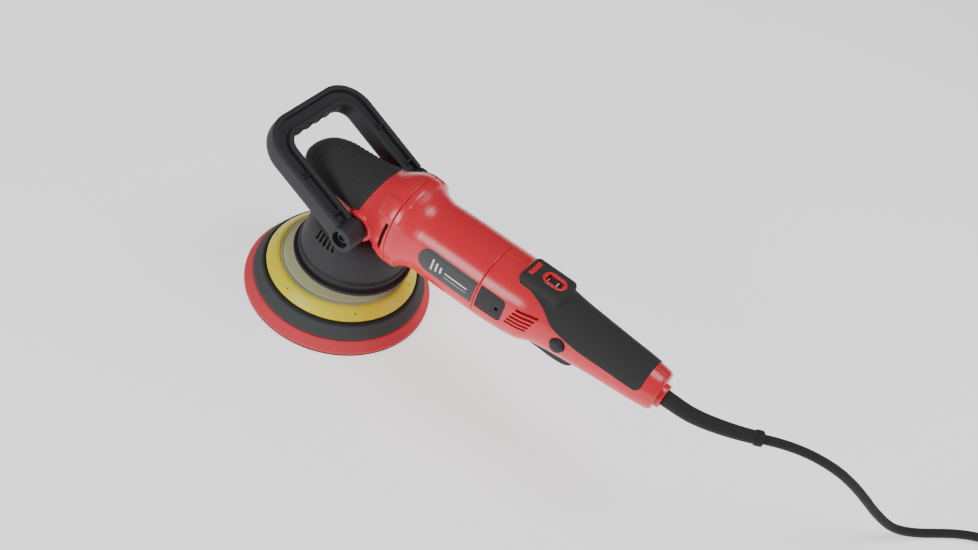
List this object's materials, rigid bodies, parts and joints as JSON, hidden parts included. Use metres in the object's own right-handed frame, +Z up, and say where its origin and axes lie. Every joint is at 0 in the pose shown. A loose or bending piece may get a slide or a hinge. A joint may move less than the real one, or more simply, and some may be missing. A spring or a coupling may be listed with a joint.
{
  "type": "dual action polisher",
  "caption": "Random orbital polishing machine with a round pad, gear head, D-shaped front handle, long motor body, rear grip with trigger and speed dial, and a power cord.",
  "frame": {"origin": "point where the drive spindle's axis meets the plane of the pad's working face", "axes": "+X along the body towards the rear end, +Z up along the spindle, body centred on Y = 0"},
  "size_m": [0.762, 0.4011, 0.1627],
  "materials": {
    "red_housing": "satin moulded nylon",
    "black_rubber": "soft overmould",
    "black_plastic": "fine textured",
    "red_lens": "clear red",
    "cast_aluminium": "as cast",
    "steel": "ground",
    "lamination_steel": "laminated",
    "copper_winding": "enamelled",
    "brass": "pressed",
    "carbon": "matt",
    "circuit_board": "solder resist",
    "cast_iron": "machined",
    "yellow_plate": "satin",
    "cream_plate": "satin",
    "black_ring": "matt",
    "grey_foam": "fine closed-cell foam",
    "red_foam": "open-cell foam",
    "cord_rubber": "smooth",
    "plug_plastic": "moulded"
  },
  "bodies": {
    "housing": {"gear_case": "cast_aluminium", "head_cover": "red_housing", "head_grip_cap": "black_rubber", "shroud": "black_plastic", "upper_spindle_bearing": "steel", "lower_spindle_bearing": "steel", "gear_case_screws": "steel", "motor_housing": "red_housing", "stator_core": "lamination_steel", "field_coils": "copper_winding", "front_armature_bearing": "steel", "rear_armature_bearing": "steel", "brush_holders": "brass", "carbon_brushes": "carbon", "brush_springs": "steel", "brush_covers": "black_plastic", "label_insets": "black_plastic", "handle_shell_left": "red_housing", "handle_shell_right": "red_housing", "handle_screws": "steel", "grip_overlay": "black_rubber", "dial_bezel": "red_housing", "indicator_lens": "red_lens", "control_board": "circuit_board", "switch_body": "black_plastic", "trigger_spring": "steel", "trigger_pin": "steel", "lock_spring": "steel", "cord_clamp": "black_plastic", "cord_guard": "cord_rubber", "handle_bosses": "black_plastic", "handle_bolts": "steel", "power_cord": "cord_rubber", "cord_coil": "cord_rubber", "cord_tie": "black_plastic", "plug": "plug_plastic"},
    "armature": {"armature_shaft": "steel", "armature_core": "lamination_steel", "armature_windings": "copper_winding", "commutator": "copper_winding", "cooling_fan": "black_plastic", "pinion": "steel"},
    "drive_spindle": {"spindle": "steel", "crown_gear": "steel", "eccentric_carrier": "cast_iron", "counterweight": "cast_iron", "eccentric_bearings": "steel"},
    "pad": {"pad_shaft": "steel", "plate_hub": "steel", "hub_disc": "cream_plate", "backing_plate": "yellow_plate", "plate_rim": "black_ring", "cushion_foam": "grey_foam", "hook_layer": "black_ring", "polishing_pad": "red_foam", "pad_face_layer": "black_ring"},
    "bail": {"front_handle": "black_plastic"},
    "trigger": {"trigger": "black_plastic"},
    "lock": {"lock_button": "black_plastic"},
    "dial": {"speed_dial": "black_plastic"}
  },
  "joints": [
    {"name": "spindle_spin", "type": "hinge", "parent": "housing", "child": "drive_spindle", "pos_m": [0, 0, 0.1], "axis": [0, 0, 1], "continuous": true},
    {"name": "armature_spin", "type": "hinge", "parent": "housing", "child": "armature", "pos_m": [0.1, 0, 0.1225], "axis": [1, 0, 0], "continuous": true},
    {"name": "pad_spin", "type": "hinge", "parent": "drive_spindle", "child": "pad", "pos_m": [-0.0075, 0, 0.05], "axis": [0, 0, 1], "continuous": true},
    {"name": "handle_tilt", "type": "hinge", "parent": "housing", "child": "bail", "pos_m": [0.017, 0, 0.1135], "axis": [0, 1, 0], "range_deg": [-8, 75]},
    {"name": "trigger_pull", "type": "hinge", "parent": "housing", "child": "trigger", "pos_m": [0.214, 0, 0.106], "axis": [0, 1, 0], "range_deg": [0, 6], "stiffness_Nm_per_rad": 0.4, "springref_deg": -2.86, "deforming": ["trigger_spring"]},
    {"name": "lock_button_press", "type": "slide", "parent": "housing", "child": "lock", "axis": [0, 1, 0], "range_m": [0, 0.003], "stiffness_N_per_m": 250, "springref_m": -0.002, "deforming": ["lock_spring"]},
    {"name": "speed_dial_turn", "type": "hinge", "parent": "housing", "child": "dial", "pos_m": [0.177, 0, 0.1465], "axis": [0, 1, 0], "range_deg": [-140, 140]}
  ],
  "couplings": [
    {"joint": "armature_spin", "follows": "spindle_spin", "ratio": 3}
  ]
}
